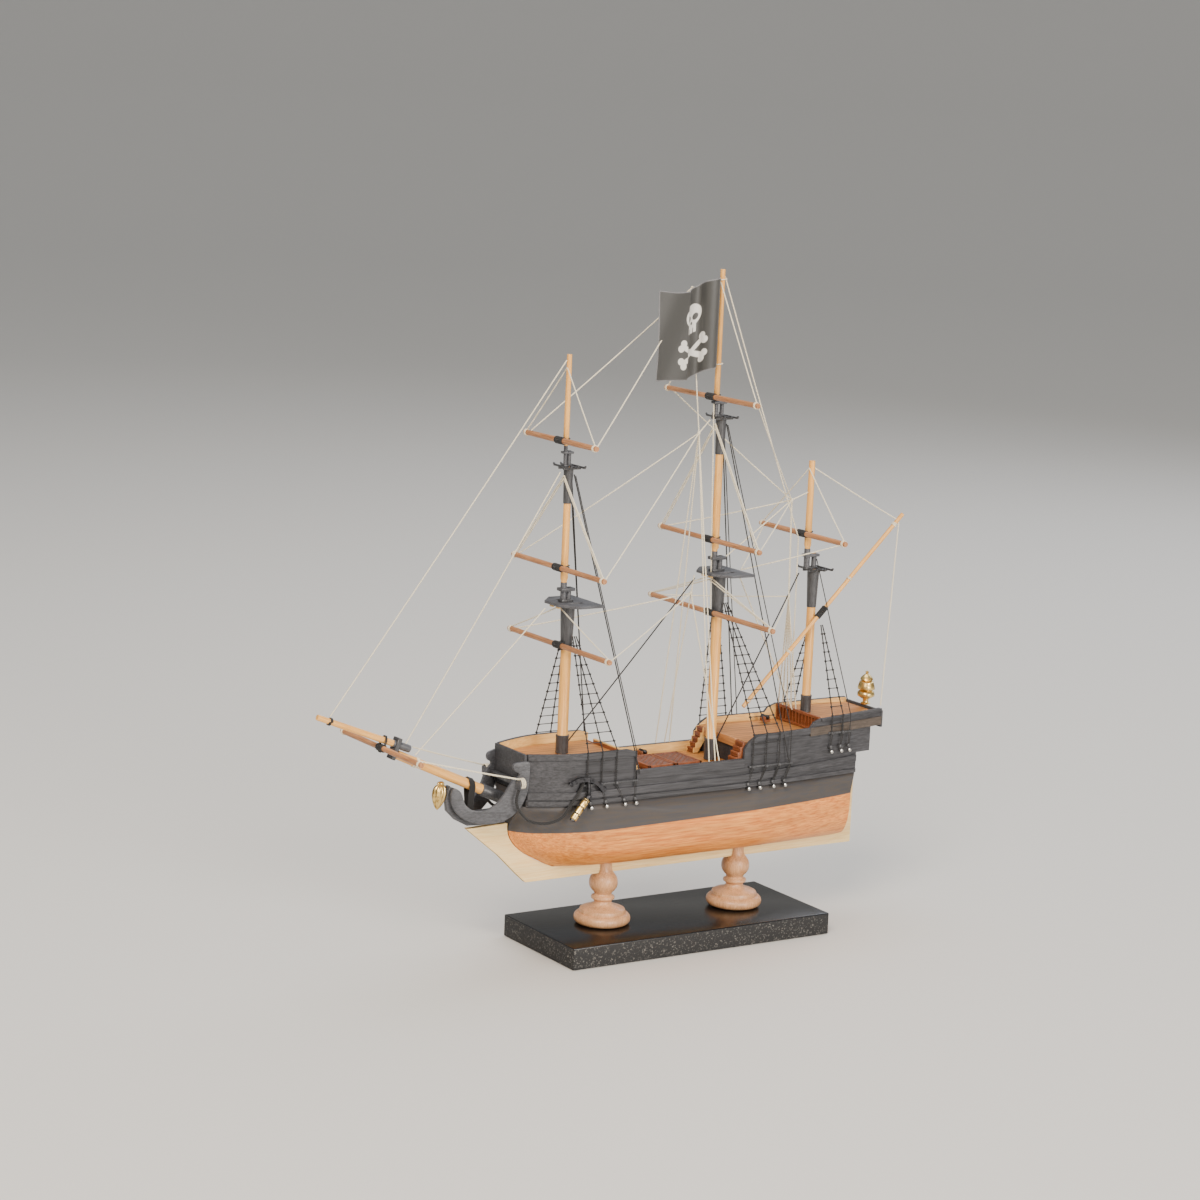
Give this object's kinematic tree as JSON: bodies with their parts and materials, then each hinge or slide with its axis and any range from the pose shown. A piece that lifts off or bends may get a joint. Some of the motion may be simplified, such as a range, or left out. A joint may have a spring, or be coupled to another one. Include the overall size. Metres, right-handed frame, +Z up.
{
  "type": "model sailing ship",
  "caption": "Wooden model of a three-masted sailing ship without sails: carved hull, raised decks, yards, shrouds and thread rigging, on a black board with turned pedestals.",
  "frame": {"origin": "centre of the base board's underside", "axes": "+Z up, +X towards the stern, +Y towards starboard"},
  "size_m": [0.3058, 0.0988, 0.3058],
  "materials": {
    "board": "black gloss lacquer on top, rough grey-black edge",
    "beech": "turned, bare satin",
    "plywood": "bare, matt",
    "hull_wood": "orange-brown satin below the waterline, charcoal stain above",
    "black_wood": "charcoal stain, matt, visible grain",
    "deck_wood": "bare satin",
    "walnut": "red-brown, satin",
    "mast_wood": "pale yellow, satin",
    "gold": "cast, gold coloured",
    "black_thread": "black thread, matt",
    "flag_cloth": "printed cotton, matt",
    "anchor_metal": "blackened metal"
  },
  "bodies": {
    "stand": {"base_board": "board", "pedestal_fore": "beech", "pedestal_aft": "beech"},
    "ship": {"keel": "plywood", "hull_block": "hull_wood", "side_panel_port": "black_wood", "side_panel_starboard": "black_wood", "beakhead_bulkhead": "black_wood", "stern_gallery": "black_wood", "taffrail": "black_wood", "head_knee": "black_wood", "head_rail_port": "black_wood", "head_rail_starboard": "black_wood", "cathead_beam": "black_wood", "bowsprit_cap": "black_wood", "fore_top": "black_wood", "fore_crosstrees": "black_wood", "main_top": "black_wood", "main_crosstrees": "black_wood", "mizzen_crosstrees": "black_wood", "main_deck": "deck_wood", "forecastle_deck": "deck_wood", "quarterdeck": "deck_wood", "poop_deck": "deck_wood", "quarterdeck_ladder_port": "walnut", "quarterdeck_ladder_starboard": "walnut", "forecastle_ladder_port": "walnut", "forecastle_ladder_starboard": "walnut", "poop_balustrade": "walnut", "hatch_gratings": "walnut", "fore_lower_mast": "mast_wood", "fore_topmast": "mast_wood", "fore_topgallant_mast": "mast_wood", "main_lower_mast": "mast_wood", "main_topmast": "mast_wood", "main_topgallant_mast": "mast_wood", "mizzen_lower_mast": "mast_wood", "mizzen_topmast": "mast_wood", "bowsprit": "mast_wood", "jib_boom": "mast_wood", "figurehead": "gold", "stern_lantern": "gold", "fore_shrouds_port": "black_thread", "fore_shrouds_starboard": "black_thread", "main_shrouds_port": "black_thread", "main_shrouds_starboard": "black_thread", "mizzen_shrouds_port": "black_thread", "mizzen_shrouds_starboard": "black_thread", "flag": "flag_cloth", "anchor_port": "anchor_metal", "anchor_starboard": "anchor_metal"},
    "fore_course_yard": {"fore_course_yard": "walnut"},
    "fore_topsail_yard": {"fore_topsail_yard": "walnut"},
    "fore_topgallant_yard": {"fore_topgallant_yard": "walnut"},
    "main_course_yard": {"main_course_yard": "walnut"},
    "main_topsail_yard": {"main_topsail_yard": "walnut"},
    "main_topgallant_yard": {"main_topgallant_yard": "walnut"},
    "mizzen_topsail_yard": {"mizzen_topsail_yard": "walnut"},
    "spritsail_yard": {"spritsail_yard": "walnut"},
    "lateen_yard": {"lateen_yard": "mast_wood"}
  },
  "joints": [
    {"name": "ship_lift", "type": "slide", "parent": "stand", "child": "ship", "axis": [0, 0, 1], "range_m": [0, 0.03]},
    {"name": "fore_course_yard_brace", "type": "hinge", "parent": "ship", "child": "fore_course_yard", "pos_m": [-0.0618, 0, 0.1405], "axis": [0, 0, 1], "range_deg": [-10, 10]},
    {"name": "fore_topsail_yard_brace", "type": "hinge", "parent": "ship", "child": "fore_topsail_yard", "pos_m": [-0.0644, 0, 0.1753], "axis": [0, 0, 1], "range_deg": [-10, 10]},
    {"name": "fore_topgallant_yard_brace", "type": "hinge", "parent": "ship", "child": "fore_topgallant_yard", "pos_m": [-0.0663, 0, 0.2316], "axis": [0, 0, 1], "range_deg": [-10, 10]},
    {"name": "main_course_yard_brace", "type": "hinge", "parent": "ship", "child": "main_course_yard", "pos_m": [0.0189, 0, 0.1502], "axis": [0, 0, 1], "range_deg": [-10, 10]},
    {"name": "main_topsail_yard_brace", "type": "hinge", "parent": "ship", "child": "main_topsail_yard", "pos_m": [0.0157, 0, 0.1841], "axis": [0, 0, 1], "range_deg": [-10, 10]},
    {"name": "main_topgallant_yard_brace", "type": "hinge", "parent": "ship", "child": "main_topgallant_yard", "pos_m": [0.0126, 0, 0.2489], "axis": [0, 0, 1], "range_deg": [-10, 10]},
    {"name": "mizzen_topsail_yard_brace", "type": "hinge", "parent": "ship", "child": "mizzen_topsail_yard", "pos_m": [0.0681, 0, 0.1841], "axis": [0, 0, 1], "range_deg": [-10, 10]},
    {"name": "spritsail_yard_brace", "type": "hinge", "parent": "ship", "child": "spritsail_yard", "pos_m": [-0.15217, 0, 0.10484], "axis": [0.3633, 0, 0.9317], "range_deg": [-8, 8]},
    {"name": "lateen_yard_swing", "type": "hinge", "parent": "ship", "child": "lateen_yard", "pos_m": [0.0722, 0, 0.147], "axis": [0, 0, 1], "range_deg": [-6, 6]}
  ]
}
